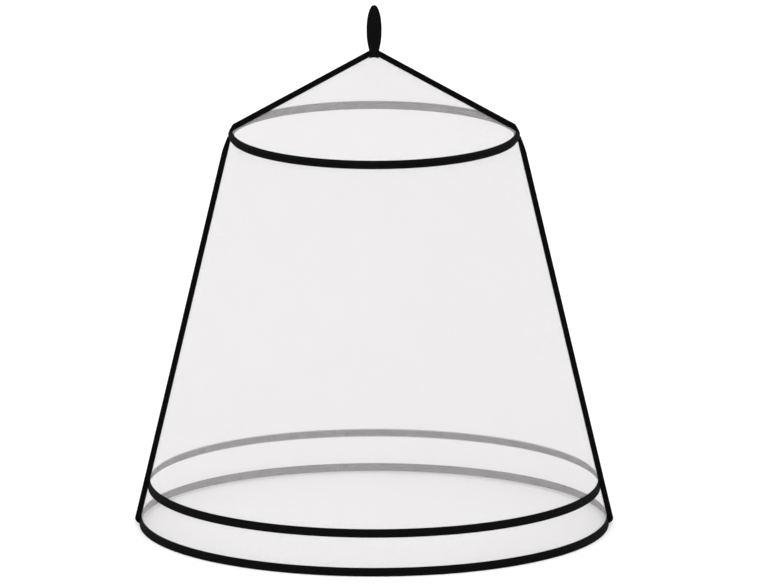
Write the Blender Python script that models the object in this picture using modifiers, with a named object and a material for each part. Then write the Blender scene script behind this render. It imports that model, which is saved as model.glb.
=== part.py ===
"""Round mosquito net canopy: a strap loop, a cone roof, a hoop in its casing, a flared wall and a border.

Metres, +Z up. The origin is the seat of the ceiling hook, inside the top of the loop.
The front is -Y and the seams are at +X and -X, in the plane y = 0.
"""

import math

import bmesh
import bpy
from mathutils import Vector, geometry

# Driving dimensions of the canopy
HOOP_RADIUS = 0.665
HEM_RADIUS = 1.094
WALL_HEIGHT = 1.856
ROOF_HEIGHT = 0.381
BORDER_HEIGHT = 0.194
TAPE_WIDTH = 0.040
TAPE_LAP = 0.005
SEAM_WIDTH = 0.0275
HOOP_TUBE_RADIUS = 0.0125

# Cloth and clearances
NET_THICKNESS = 0.001
TAPE_THICKNESS = 0.0015
GAP = 0.0003
FOLD_CORNER = 0.0012
HOOP_PLAY = 0.0006
PEAK_GAP = 0.0014

# Hanging loop
LOOP_HEIGHT = 0.2353
LOOP_WIDTH = 0.0704
LOOP_BASE_WIDTH = 0.043
LOOP_WIDEST = 0.1163
LOOP_HALF_OVAL = 0.119
DROOP_HEIGHT = 0.05
EDGE_THINNING = 0.15
BUNCH_ROUNDING = 0.35
STRAP_THICKNESS = 0.0035
BUNCH_THICKNESS = 0.0105
HOOK_RADIUS = 0.005
FOOT_LENGTH = 0.015
FOOT_PLAY = 0.0009
FOOT_BEND = 0.0015
SEWN_ABOVE_SEAM = 0.004
BOW_LEAN = math.radians(21)
HOOK_LEAN = math.radians(17)
BOW_HANDLE = 0.062

# Facets: the same angular steps on every ring, so that the gaps between them stay even
RING_STEPS = 64
TUBE_SIDES = 12
STRAP_STRIPS = 8
BOW_STEPS = 10
ARCH_STEPS = 4
CASING_OUTER_STEPS = 5
CASING_INNER_STEPS = 7
SMALL = 0.00001

# Offsets across the cloth, from the middle of the netting
TAPE_LIFT = NET_THICKNESS / 2 + GAP + TAPE_THICKNESS / 2
PANEL_SIDE = GAP / 2 + NET_THICKNESS / 2
BINDING_SIDE = PANEL_SIDE + TAPE_LIFT
TAPE_END_SIDE = BINDING_SIDE + TAPE_THICKNESS / 2 + GAP
FLANGE_HEIGHT = SEAM_WIDTH - 0.002
BINDING_FOOT = NET_THICKNESS / 2 + GAP * 2
BINDING_TOP = SEAM_WIDTH + NET_THICKNESS / 2 - TAPE_THICKNESS / 2

# How far each edge lies from the hoop, measured along the cloth
ROOF_EDGE_RUN = 0.007
ROOF_FOLD_RUN = 0.0105
ROOF_TAIL_RUN = 0.014
PEAK_ROW_RUN = 0.03
WALL_EDGE_RUN = 0.014
WALL_FOLD_RUN = 0.0155
WALL_TAIL_RUN = 0.0195

# The netting's distance from the centre of the tube: the roof lies over the casing, and the wall
# hangs from under it
ROOF_LIFT = HOOP_TUBE_RADIUS + HOOP_PLAY - GAP - NET_THICKNESS / 2
WALL_LIFT = -0.004
CASING_RADIUS = ROOF_LIFT + TAPE_LIFT

APEX_Z = BUNCH_THICKNESS - LOOP_HEIGHT
HOOP_Z = APEX_Z - ROOF_HEIGHT
FLARE = HEM_RADIUS - HOOP_RADIUS
ROOF_REACH = math.hypot(HOOP_RADIUS, ROOF_HEIGHT)
WALL_REACH = math.hypot(FLARE, WALL_HEIGHT)
ROOF_SLOPE = math.atan2(ROOF_HEIGHT, HOOP_RADIUS) - math.asin(ROOF_LIFT / ROOF_REACH)
WALL_TILT = math.atan2(FLARE, WALL_HEIGHT) - math.asin(WALL_LIFT / WALL_REACH)
ROOF_RUN = math.sqrt(ROOF_REACH**2 - ROOF_LIFT**2)
WALL_RUN = math.sqrt(WALL_REACH**2 - WALL_LIFT**2)
BORDER_RUN = WALL_RUN - BORDER_HEIGHT / math.cos(WALL_TILT)
NET_STOP = TAPE_WIDTH / 2 - TAPE_LAP
ROOF_NORMAL_ANGLE = math.pi / 2 - ROOF_SLOPE
WALL_NORMAL_ANGLE = WALL_TILT
HEM_EDGE_RUN = WALL_RUN - TAPE_THICKNESS - FOLD_CORNER

# Seam bindings narrow at the hoop and at the hem. Each end is (run at the foot, run at the fold,
# height of the fold), and each shoulder is the run where the binding has its whole height.
ROOF_SEAM_END = (0.0222, -0.001, 0.0055)
ROOF_SHOULDER_RUN = 0.03
WALL_SEAM_END = (0.0209, 0.011, 0.018)
WALL_SHOULDER_RUN = 0.09
HEM_SEAM_END = (WALL_RUN, WALL_RUN - 0.004, 0.010)
HEM_SHOULDER_RUN = WALL_RUN - 0.03

# The netting's turned-out edges end the same way inside the bindings: at each run on the seam, the
# (run, lift) of the outer corner
ROOF_FLANGE_END = (0.023, (0.014, 0.009))
WALL_FLANGE_END = (0.0213, (0.0127, 0.016))
HEM_FLANGE_END = (HEM_EDGE_RUN, (HEM_EDGE_RUN, 0.007))

COLOURS = {
    # slot: (red, green, blue), roughness
    "netting": ((0.86, 0.86, 0.87), 0.8),
    "tape": ((0.012, 0.012, 0.013), 0.75),
    "strap": ((0.01, 0.01, 0.011), 0.7),
    "hoop": ((0.02, 0.02, 0.021), 0.45),
}


def clear_scene():
    for obj in list(bpy.data.objects):
        bpy.data.objects.remove(obj)


def make_material(slot):
    colour, roughness = COLOURS[slot]
    material = bpy.data.materials.new(slot)
    material.use_nodes = True
    shader = material.node_tree.nodes["Principled BSDF"]
    shader.inputs["Base Color"].default_value = (*colour, 1)
    shader.inputs["Roughness"].default_value = roughness
    shader.inputs["Metallic"].default_value = 0
    return material


def on_ray(angle, distance):
    """(radius, z) of the point this far from the hoop tube's centre, at this angle from outwards."""
    return HOOP_RADIUS + distance * math.cos(angle), HOOP_Z + distance * math.sin(angle)


def on_roof(run, lift=0.0):
    """(radius, z) on the roof: run up the slope from the hoop, and lift above the netting's middle."""
    radius, z = on_ray(ROOF_NORMAL_ANGLE, ROOF_LIFT + lift)
    return radius - run * math.cos(ROOF_SLOPE), z + run * math.sin(ROOF_SLOPE)


def on_wall(run, lift=0.0):
    """(radius, z) on the wall: run down from the hoop, and lift outside the netting's middle."""
    radius, z = on_ray(WALL_NORMAL_ANGLE, WALL_LIFT + lift)
    return radius + run * math.sin(WALL_TILT), z - run * math.cos(WALL_TILT)


def arc_round_hoop(start, end, steps):
    """Points on the casing's circle round the hoop tube, both ends included."""
    return [on_ray(start + (end - start) * i / steps, CASING_RADIUS) for i in range(steps + 1)]


def half_turn(profile, side):
    """A surface swept from +X past the front to -X, whose ends stop this far from the plane y = 0."""
    bm = bmesh.new()
    verts = [bm.verts.new((radius, 0, z)) for radius, z in profile]
    edges = [bm.edges.new(pair) for pair in zip(verts, verts[1:])]
    bmesh.ops.spin(
        bm,
        geom=verts + edges,
        cent=(0, 0, 0),
        axis=(0, 0, 1),
        dvec=(0, 0, 0),
        angle=-math.pi,
        steps=RING_STEPS // 2,
    )
    bmesh.ops.remove_doubles(bm, verts=bm.verts, dist=SMALL)
    for vert in bm.verts:
        if abs(vert.co.y) < SMALL:
            # The end slides along its own facet, so it stays parallel to the cloth beside it
            inward = min(side * math.tan(math.pi / RING_STEPS), abs(vert.co.x))
            vert.co.x -= math.copysign(inward, vert.co.x)
            vert.co.y = -side
    return bm


def raise_flanges(bm, place, corners):
    """Turns the netting's seam edges outwards as the seam allowance. For the run of each row on the
    seam, corners has the (run, lift) of its outer corner."""
    heights = {place(run)[1]: place(*corner) for run, corner in corners}
    seam = [
        edge
        for edge in bm.edges
        if edge.is_boundary
        and all(
            abs(v.co.y + PANEL_SIDE) < SMALL and any(abs(v.co.z - z) < SMALL for z in heights)
            for v in edge.verts
        )
    ]
    made = bmesh.ops.extrude_edge_only(bm, edges=seam)["geom"]
    for vert in made:
        if isinstance(vert, bmesh.types.BMVert):
            nearest = min(heights, key=lambda z: abs(vert.co.z - z))
            radius, z = heights[nearest]
            vert.co.x = math.copysign(radius, vert.co.x)
            vert.co.z = z


def add_object(name, bm, slot, collection, thickness=0.0):
    """Makes the object, and gives an open surface this thickness about its middle."""
    bmesh.ops.recalc_face_normals(bm, faces=bm.faces)
    mesh = bpy.data.meshes.new(name)
    bm.to_mesh(mesh)
    bm.free()
    mesh.materials.append(make_material(slot))
    obj = bpy.data.objects.new(name, mesh)
    collection.objects.link(obj)
    if thickness:
        add_thickness(obj, thickness)
    smooth(mesh)
    return obj


def add_thickness(obj, thickness):
    solidify = obj.modifiers.new("cloth thickness", "SOLIDIFY")
    solidify.thickness = thickness
    solidify.offset = 0
    solidify.use_even_offset = True
    solidify.use_quality_normals = True


def smooth(mesh):
    mesh.shade_smooth()
    mesh.set_sharp_from_angle(angle=math.radians(35))


def add_back(front, collection):
    """The back half is the front half turned half round, on the same mesh."""
    back = bpy.data.objects.new(front.name.replace("front", "back"), front.data)
    back.rotation_euler.z = math.pi
    collection.objects.link(back)
    for modifier in front.modifiers:
        add_thickness(back, modifier.thickness)
    return back


def add_left(right, collection):
    """The left seam is the right one turned half round, on the same mesh."""
    left = bpy.data.objects.new(right.name.replace("right", "left"), right.data)
    left.rotation_euler.z = math.pi
    collection.objects.link(left)
    add_thickness(left, TAPE_THICKNESS)
    return left


def add_roof(collection):
    """Its seam allowance meets over the peak, straight above it."""
    peak_run = ROOF_RUN + FLANGE_HEIGHT * math.tan(ROOF_SLOPE)
    whole = (ROOF_SHOULDER_RUN, ROOF_RUN / 2, ROOF_RUN - PEAK_ROW_RUN)
    corners = [ROOF_FLANGE_END, *((run, (run, FLANGE_HEIGHT)) for run in whole)]
    corners += [(ROOF_RUN, (peak_run, FLANGE_HEIGHT))]
    bm = half_turn([on_roof(run) for run in (ROOF_EDGE_RUN, *(row[0] for row in corners))], PANEL_SIDE)
    raise_flanges(bm, on_roof, corners)
    front = add_object("roof_panel_front", bm, "netting", collection, NET_THICKNESS)
    add_back(front, collection)


def add_wall(collection):
    whole = (WALL_SHOULDER_RUN, BORDER_RUN / 2, BORDER_RUN - NET_STOP)
    corners = [WALL_FLANGE_END, *((run, (run, FLANGE_HEIGHT)) for run in whole)]
    bm = half_turn([on_wall(run) for run in (WALL_EDGE_RUN, *(row[0] for row in corners))], PANEL_SIDE)
    raise_flanges(bm, on_wall, corners)
    front = add_object("wall_panel_front", bm, "netting", collection, NET_THICKNESS)
    add_back(front, collection)


def add_border(collection):
    """It laps under the border tape's lower edge, as the wall panel does under the upper one."""
    whole = (BORDER_RUN + NET_STOP, HEM_SHOULDER_RUN)
    corners = [*((run, (run, FLANGE_HEIGHT)) for run in whole), HEM_FLANGE_END]
    bm = half_turn([on_wall(row[0]) for row in corners], PANEL_SIDE)
    raise_flanges(bm, on_wall, corners)
    front = add_object("border_panel_front", bm, "netting", collection, NET_THICKNESS)
    add_back(front, collection)


def add_border_tape(collection):
    runs = (BORDER_RUN - TAPE_WIDTH / 2, BORDER_RUN + TAPE_WIDTH / 2)
    bm = half_turn([on_wall(run, TAPE_LIFT) for run in runs], TAPE_END_SIDE)
    front = add_object("border_tape_front", bm, "tape", collection, TAPE_THICKNESS)
    add_back(front, collection)


def add_hem(collection):
    """Tape folded round the lower edge: outer leg, two corners below the netting, inner leg."""
    bottom = WALL_RUN - TAPE_THICKNESS / 2
    outer = [on_wall(WALL_RUN - TAPE_WIDTH, TAPE_LIFT), on_wall(bottom - FOLD_CORNER, TAPE_LIFT)]
    turn = [on_wall(bottom, TAPE_LIFT - FOLD_CORNER), on_wall(bottom, FOLD_CORNER - TAPE_LIFT)]
    inner = [on_wall(bottom - FOLD_CORNER, -TAPE_LIFT), on_wall(WALL_RUN - TAPE_WIDTH, -TAPE_LIFT)]
    bm = half_turn(outer + turn + inner, TAPE_END_SIDE)
    front = add_object("hem_binding_front", bm, "tape", collection, TAPE_THICKNESS)
    add_back(front, collection)


def binding_section(place, foot_run, top_run, top):
    """Points round a folded seam binding, from the foot of one leg to the foot of the other. It is
    cut across from foot_run at the netting to top_run at the fold, which stands this far above."""
    half = [
        (BINDING_SIDE, BINDING_FOOT),
        (BINDING_SIDE, top - FOLD_CORNER),
        (BINDING_SIDE - FOLD_CORNER, top),
    ]
    slant = (top_run - foot_run) / (top - BINDING_FOOT)
    points = []
    for y, lift in [(-y, lift) for y, lift in half] + half[::-1]:
        radius, z = place(foot_run + slant * (lift - BINDING_FOOT), lift)
        points.append((radius, y, z))
    return points


def add_binding(name, sections, collection):
    """A right-hand seam binding, stretched straight from each section to the next, and its left one."""
    bm = bmesh.new()
    rows = [[bm.verts.new(point) for point in section] for section in sections]
    for row, following in zip(rows, rows[1:]):
        for j in range(len(row) - 1):
            bm.faces.new((row[j], row[j + 1], following[j + 1], following[j]))
    right = add_object(name, bm, "tape", collection, TAPE_THICKNESS)
    add_left(right, collection)


def add_wall_seam(collection):
    sections = [
        binding_section(on_wall, *WALL_SEAM_END),
        binding_section(on_wall, WALL_SHOULDER_RUN, WALL_SHOULDER_RUN, BINDING_TOP),
        binding_section(on_wall, HEM_SHOULDER_RUN, HEM_SHOULDER_RUN, BINDING_TOP),
        binding_section(on_wall, *HEM_SEAM_END),
    ]
    add_binding("wall_seam_binding_right", sections, collection)


def add_roof_seam(collection):
    """The upper end is cut upright, where the two bindings meet over the peak."""
    peak_foot, peak_top = (
        (on_roof(0, lift)[0] - PEAK_GAP / 2) / math.cos(ROOF_SLOPE)
        for lift in (BINDING_FOOT, BINDING_TOP)
    )
    sections = [
        binding_section(on_roof, peak_foot, peak_top, BINDING_TOP),
        binding_section(on_roof, ROOF_SHOULDER_RUN, ROOF_SHOULDER_RUN, BINDING_TOP),
        binding_section(on_roof, *ROOF_SEAM_END),
    ]
    add_binding("roof_seam_binding_right", sections, collection)


def add_ring(name, profile, collection):
    """A whole ring of tape, turned from its open section."""
    bm = bmesh.new()
    verts = [bm.verts.new((radius, 0, z)) for radius, z in profile]
    for pair in zip(verts, verts[1:]):
        bm.edges.new(pair)
    mesh = bpy.data.meshes.new(name)
    bm.to_mesh(mesh)
    bm.free()
    mesh.materials.append(make_material("tape"))
    ring = bpy.data.objects.new(name, mesh)
    collection.objects.link(ring)
    screw = ring.modifiers.new("turn", "SCREW")
    screw.steps = RING_STEPS
    screw.render_steps = RING_STEPS
    screw.use_merge_vertices = True
    screw.merge_threshold = 0.0001
    screw.use_smooth_shade = True
    add_thickness(ring, TAPE_THICKNESS)
    return ring


def tangent_angle(point, turn):
    """Angle at which a straight line from the point meets the casing's circle round the hoop."""
    radius, z = point
    away = math.hypot(radius - HOOP_RADIUS, z - HOOP_Z)
    direction = math.atan2(z - HOOP_Z, radius - HOOP_RADIUS)
    return direction + turn * math.acos(CASING_RADIUS / away)


def add_casing(collection):
    """Two tapes sewn together above and below the hoop, with the netting's edges between them."""
    lower_fold = on_wall(WALL_FOLD_RUN, TAPE_LIFT)
    start, end = ROOF_NORMAL_ANGLE, tangent_angle(lower_fold, 1)
    outer = [on_roof(ROOF_TAIL_RUN, TAPE_LIFT)]
    outer += arc_round_hoop(start, end, CASING_OUTER_STEPS)
    outer += [lower_fold, on_wall(WALL_TAIL_RUN, TAPE_LIFT)]
    add_ring("hoop_casing_outer", outer, collection)
    upper_fold = on_roof(ROOF_FOLD_RUN, -TAPE_LIFT)
    lower_fold = on_wall(WALL_FOLD_RUN, -TAPE_LIFT)
    start, end = tangent_angle(upper_fold, 1), tangent_angle(lower_fold, -1) + 2 * math.pi
    inner = [on_roof(ROOF_TAIL_RUN, -TAPE_LIFT), upper_fold]
    inner += arc_round_hoop(start, end, CASING_INNER_STEPS)
    inner += [lower_fold, on_wall(WALL_TAIL_RUN, -TAPE_LIFT)]
    add_ring("hoop_casing_inner", inner[::-1], collection)


def add_hoop(collection):
    bpy.ops.mesh.primitive_torus_add(
        major_segments=RING_STEPS,
        minor_segments=TUBE_SIDES,
        major_radius=HOOP_RADIUS,
        minor_radius=HOOP_TUBE_RADIUS,
        location=(0, 0, HOOP_Z),
    )
    hoop = bpy.context.object
    hoop.name = "hoop"
    hoop.data.name = "hoop"
    hoop.data.materials.append(make_material("hoop"))
    hoop.data.shade_smooth()
    for holder in list(hoop.users_collection):
        holder.objects.unlink(hoop)
    collection.objects.link(hoop)


def leg_path():
    """(y, height above the peak) along the middle of the front leg, from its foot to the hook.

    The foot lies on the roof, the leg is sewn beside the seams, bows out and turns over the hook."""
    slope = math.tan(ROOF_SLOPE)
    rest = (NET_THICKNESS / 2 + FOOT_PLAY + STRAP_THICKNESS / 2) / math.cos(ROOF_SLOPE)
    beside = TAPE_END_SIDE + STRAP_THICKNESS / 2
    bend = rest - slope * beside + FOOT_BEND
    foot_sides = (beside + FOOT_LENGTH, beside + FOOT_LENGTH / 2, beside + FOOT_BEND)
    foot = [(-y, rest - slope * y) for y in foot_sides]
    sewn_top = SEAM_WIDTH / math.cos(ROOF_SLOPE) + SEWN_ABOVE_SEAM
    sewn = [(-beside, bend), (-beside, sewn_top / 2), (-beside, sewn_top)]
    turn = HOOK_RADIUS + BUNCH_THICKNESS / 2
    centre = LOOP_HEIGHT - BUNCH_THICKNESS - HOOK_RADIUS
    return foot + sewn + bow(sewn[-1], turn, centre) + arch(turn, centre)


def bow(start, turn, centre):
    """The free leg: a curve out from where the sewing ends, and back in to the arch over the hook."""
    low = Vector((*start, 0))
    high = Vector((-turn * math.cos(HOOK_LEAN), centre - turn * math.sin(HOOK_LEAN), 0))
    low_handle = low + BOW_HANDLE * Vector((-math.sin(BOW_LEAN), math.cos(BOW_LEAN), 0))
    high_handle = high - BOW_HANDLE * Vector((math.sin(HOOK_LEAN), math.cos(HOOK_LEAN), 0))
    points = geometry.interpolate_bezier(low, low_handle, high_handle, high, BOW_STEPS)
    return [(point.x, point.y) for point in points[1:]]


def arch(turn, centre):
    """The front half of the arch, up to its crest."""
    start = math.pi + HOOK_LEAN
    angles = [start - (start - math.pi / 2) * i / ARCH_STEPS for i in range(1, ARCH_STEPS + 1)]
    return [(turn * math.cos(angle), centre + turn * math.sin(angle)) for angle in angles]


def strap_size(height):
    """Width and thickness at this height: an oval outline, with the strap bunched up over the hook."""
    share = (height - LOOP_WIDEST) / LOOP_HALF_OVAL
    width = LOOP_WIDTH * math.sqrt(max(1 - share**2, 0))
    if height < LOOP_WIDEST:
        return max(width, LOOP_BASE_WIDTH), STRAP_THICKNESS
    return width, min(STRAP_THICKNESS * LOOP_WIDTH / width, BUNCH_THICKNESS)


def strap_section(point, normal, width, thickness):
    """Ten points round the strap. Near the peak the section droops over the cone under it."""
    y, height = point
    bunched = (thickness - STRAP_THICKNESS) / (BUNCH_THICKNESS - STRAP_THICKNESS)
    droop = max(0.0, 1 - max(height, 0) / DROOP_HEIGHT)
    faces = ([], [])
    for i in range(STRAP_STRIPS + 1):
        share = 2 * i / STRAP_STRIPS - 1
        x = share * width / 2
        fullness = 1 - (EDGE_THINNING + BUNCH_ROUNDING * bunched) * share**4
        for sign, face in zip((1, -1), faces):
            out = sign * fullness * thickness / 2
            face_y = y + out * normal[0]
            drop = droop * math.tan(ROOF_SLOPE) * (math.hypot(x, face_y) - abs(face_y))
            face.append((x, face_y, APEX_Z + height - drop + out * normal[1]))
    return faces[0] + faces[1][::-1]


def add_loop(collection):
    """Sections across the strap, joined along it from the front foot over the hook to the back foot."""
    front = leg_path()
    path = front + [(-y, height) for y, height in front[-2::-1]]
    bm = bmesh.new()
    rings = []
    for i, point in enumerate(path):
        before, after = path[max(i - 1, 0)], path[min(i + 1, len(path) - 1)]
        along = Vector((after[0] - before[0], after[1] - before[1])).normalized()
        width, thickness = strap_size(point[1])
        section = strap_section(point, (-along.y, along.x), width, thickness)
        rings.append([bm.verts.new(corner) for corner in section])
    for ring, following in zip(rings, rings[1:]):
        for j in range(len(ring)):
            k = (j + 1) % len(ring)
            bm.faces.new((ring[j], ring[k], following[k], following[j]))
    bm.faces.new(rings[0])
    bm.faces.new(rings[-1][::-1])
    add_object("hanging_loop", bm, "strap", collection)


def main():
    clear_scene()
    collection = bpy.data.collections.new("mosquito_net_canopy")
    bpy.context.scene.collection.children.link(collection)
    add_loop(collection)
    add_roof(collection)
    add_roof_seam(collection)
    add_hoop(collection)
    add_casing(collection)
    add_wall(collection)
    add_wall_seam(collection)
    add_border(collection)
    add_border_tape(collection)
    add_hem(collection)


main()
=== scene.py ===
import math

import bmesh
import bpy
import numpy as np
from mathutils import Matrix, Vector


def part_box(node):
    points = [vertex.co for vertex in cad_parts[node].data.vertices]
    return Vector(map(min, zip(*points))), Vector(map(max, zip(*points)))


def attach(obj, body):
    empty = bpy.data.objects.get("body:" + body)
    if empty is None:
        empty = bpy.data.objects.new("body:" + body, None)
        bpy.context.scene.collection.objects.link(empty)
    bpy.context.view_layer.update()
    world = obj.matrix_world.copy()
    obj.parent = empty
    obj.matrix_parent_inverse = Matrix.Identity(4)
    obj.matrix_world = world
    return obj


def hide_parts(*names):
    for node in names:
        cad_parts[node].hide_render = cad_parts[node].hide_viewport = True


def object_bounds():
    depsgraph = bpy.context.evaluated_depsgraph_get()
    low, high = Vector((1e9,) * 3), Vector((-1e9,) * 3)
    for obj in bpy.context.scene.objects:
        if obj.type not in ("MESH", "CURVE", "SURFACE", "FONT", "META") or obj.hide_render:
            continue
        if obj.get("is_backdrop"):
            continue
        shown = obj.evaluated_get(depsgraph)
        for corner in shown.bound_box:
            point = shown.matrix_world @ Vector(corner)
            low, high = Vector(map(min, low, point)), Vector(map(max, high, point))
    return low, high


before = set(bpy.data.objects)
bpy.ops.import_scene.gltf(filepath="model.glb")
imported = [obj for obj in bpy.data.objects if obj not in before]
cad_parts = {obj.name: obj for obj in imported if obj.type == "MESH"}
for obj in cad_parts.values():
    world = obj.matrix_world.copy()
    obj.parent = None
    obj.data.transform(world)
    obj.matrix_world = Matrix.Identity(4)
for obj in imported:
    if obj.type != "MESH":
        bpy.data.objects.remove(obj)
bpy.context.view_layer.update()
print("frame loaded,", len(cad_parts), "CAD nodes")

# Everything is in metres, +Z up, the origin in the seat of the ceiling hook.
# Angles round the canopy run from +X past the front (-Y) to -X, and on past the back.
canopy = {
    "hemRadius": 1.094,
    "wallHeight": 1.856,
    "roofHeight": 0.381,
    "borderHeight": 0.194,
    "roofLift": 0.0123,  # how far outside the middle of the hoop's tube the roof's net passes
    "wallLift": -0.004,  # and the wall's, which hangs from under the casing
    "tapeLift": 0.00155,  # from the middle of the net to the middle of a tape on it
    "tapeThickness": 0.0015,
    "tapeWidth": 0.040,
    "tapeLap": 0.005,  # how far each net reaches under the border tape
    "seamWidth": 0.0275,
    "netSide": 0.00065,  # from the plane of the seams to the net's turned-up edge
    "tapeSide": 0.0022,  # and to the leg of the binding over it
    "tapeEnd": 0.00325,  # where the hem and border tapes stop beside the seams
    "seamRoom": 0.0005,  # the folded binding stands this much prouder than the seam is wide
}

hoopLow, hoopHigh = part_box("hoop")
tubeRadius = (hoopHigh.z - hoopLow.z) / 2
hoopRadius = hoopHigh.x - tubeRadius
hoopZ = (hoopHigh.z + hoopLow.z) / 2
peakZ = hoopZ + canopy["roofHeight"]

# Each slope starts on a line that passes the tube's middle at its own lift.
roofLift, wallLift = canopy["roofLift"], canopy["wallLift"]
flare = canopy["hemRadius"] - hoopRadius
roofReach = math.hypot(hoopRadius, canopy["roofHeight"])
wallReach = math.hypot(flare, canopy["wallHeight"])
roofSlope = math.atan2(canopy["roofHeight"], hoopRadius) - math.asin(roofLift / roofReach)
wallTilt = math.atan2(flare, canopy["wallHeight"]) - math.asin(wallLift / wallReach)
roofRun = math.sqrt(roofReach**2 - roofLift**2)
wallRun = math.sqrt(wallReach**2 - wallLift**2)
borderRun = wallRun - canopy["borderHeight"] / math.cos(wallTilt)


# Radius and height of a point on the roof: run up the slope from the hoop, lift out from the net.
def onRoof(run, lift=0.0):
    out = roofLift + lift
    radius = hoopRadius + out * math.sin(roofSlope) - run * math.cos(roofSlope)
    return radius, hoopZ + out * math.cos(roofSlope) + run * math.sin(roofSlope)


# The same on the wall, with the run going down from the hoop.
def onWall(run, lift=0.0):
    out = wallLift + lift
    radius = hoopRadius + out * math.cos(wallTilt) + run * math.sin(wallTilt)
    return radius, hoopZ + out * math.sin(wallTilt) - run * math.cos(wallTilt)


# A circle of this radius and height, opened along the seams' plane by side on each half.
def turned(radius, height, angle, side=0.0, front=True):
    y = (side if front else -side) + np.maximum(radius - side, 0) * np.sin(angle)
    return np.stack(np.broadcast_arrays(radius * np.cos(angle), -y, height), axis=-1)


# Smooth step: 0 before low, 1 after high, 3t^2 - 2t^3 between.
def ease(value, low, high):
    t = np.clip((value - low) / (high - low), 0, 1)
    return t * t * (3 - 2 * t)


# One quad between each four neighbouring points of a grid, with a UV map in metres.
# A wrapped grid joins its last column to its first; coords then has one column more than points.
def gridMesh(name, points, coords, wrap=False, flip=False):
    rows, columns = points.shape[:2]
    last = columns if wrap else columns - 1
    i, j = np.meshgrid(np.arange(rows - 1), np.arange(last), indexing="ij")
    cornerI = np.stack([i, i + 1, i + 1, i], axis=-1).reshape(-1, 4)
    cornerJ = np.stack([j, j, j + 1, j + 1], axis=-1).reshape(-1, 4)
    if flip:
        cornerI, cornerJ = cornerI[:, ::-1], cornerJ[:, ::-1]
    quads = cornerI * columns + cornerJ % columns
    return quadMesh(name, points.reshape(-1, 3), quads, coords[cornerI, cornerJ])


def quadMesh(name, points, quads, coords):
    mesh = bpy.data.meshes.new(name)
    mesh.vertices.add(len(points))
    mesh.vertices.foreach_set("co", points.astype(np.float32).ravel())
    mesh.loops.add(quads.size)
    mesh.loops.foreach_set("vertex_index", quads.astype(np.int32).ravel())
    mesh.polygons.add(len(quads))
    mesh.polygons.foreach_set("loop_start", np.arange(0, quads.size, 4, dtype=np.int32))
    mesh.update(calc_edges=True)
    layer = mesh.uv_layers.new(name="cloth")
    layer.uv.foreach_set("vector", coords.astype(np.float32).ravel())
    mesh.validate()
    return mesh


# Merges the points that a pole or a turned edge brings together.
def weld(mesh, reach=0.00002):
    bm = bmesh.new()
    bm.from_mesh(mesh)
    bmesh.ops.remove_doubles(bm, verts=bm.verts, dist=reach)
    bmesh.ops.dissolve_degenerate(bm, edges=bm.edges, dist=reach / 10)
    bm.to_mesh(mesh)
    bm.free()


def addPiece(name, mesh, material, nodes=(), thickness=0.0, sharp=40):
    mesh.materials.append(material)
    mesh.shade_smooth()
    mesh.set_sharp_from_angle(angle=math.radians(sharp))
    piece = bpy.data.objects.new(name, mesh)
    bpy.context.scene.collection.objects.link(piece)
    if thickness:
        solidify = piece.modifiers.new("tape thickness", "SOLIDIFY")
        solidify.thickness = thickness
        solidify.offset = 0
        solidify.use_even_offset = True
        solidify.use_quality_normals = True
    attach(piece, "root")
    if nodes:
        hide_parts(*nodes)
    return piece


# Lengths along a line of points, from 0.
def lengths(points):
    steps = np.linalg.norm(np.diff(points, axis=0), axis=-1)
    return np.concatenate([[0], np.cumsum(steps)])


# Outward normals of a grid: the cross product of its two directions.
def gridNormals(points):
    normal = np.cross(np.gradient(points, axis=0), np.gradient(points, axis=1))
    return normal / np.maximum(np.linalg.norm(normal, axis=-1, keepdims=True), 1e-12)


# Adds a node, joining or setting its inputs by name or number.
def addNode(tree, kind, inputs=None, **settings):
    made = tree.nodes.new(kind)
    for key, value in settings.items():
        setattr(made, key, value)
    for key, value in (inputs or {}).items():
        if isinstance(value, bpy.types.NodeSocket):
            tree.links.new(value, made.inputs[key])
        else:
            made.inputs[key].default_value = value
    return made


def maths(tree, operation, *values, clamp=False):
    inputs = dict(enumerate(values))
    return addNode(tree, "ShaderNodeMath", inputs, operation=operation, use_clamp=clamp).outputs[0]


def vectors(tree, operation, *values, output="Vector"):
    made = addNode(tree, "ShaderNodeVectorMath", dict(enumerate(values)), operation=operation)
    return made.outputs[output]


# A vector or colour times one number.
def scaledBy(tree, vector, amount):
    inputs = {"Vector": vector, "Scale": amount}
    return addNode(tree, "ShaderNodeVectorMath", inputs, operation="SCALE").outputs[0]


def newGroup(name, inputs, outputs):
    group = bpy.data.node_groups.new(name, "ShaderNodeTree")
    for label, (kind, value) in inputs.items():
        kind = "NodeSocket" + kind
        socket = group.interface.new_socket(name=label, in_out="INPUT", socket_type=kind)
        if value is not None:
            socket.default_value = value
    for label in outputs:
        group.interface.new_socket(name=label, in_out="OUTPUT", socket_type="NodeSocketFloat")
    given = group.nodes.new("NodeGroupInput").outputs
    return group, given, group.nodes.new("NodeGroupOutput").inputs


def useGroup(tree, group, inputs):
    placed = addNode(tree, "ShaderNodeGroup", node_tree=group)
    for key, value in inputs.items():
        if isinstance(value, bpy.types.NodeSocket):
            tree.links.new(value, placed.inputs[key])
        else:
            placed.inputs[key].default_value = value
    return placed.outputs


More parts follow.
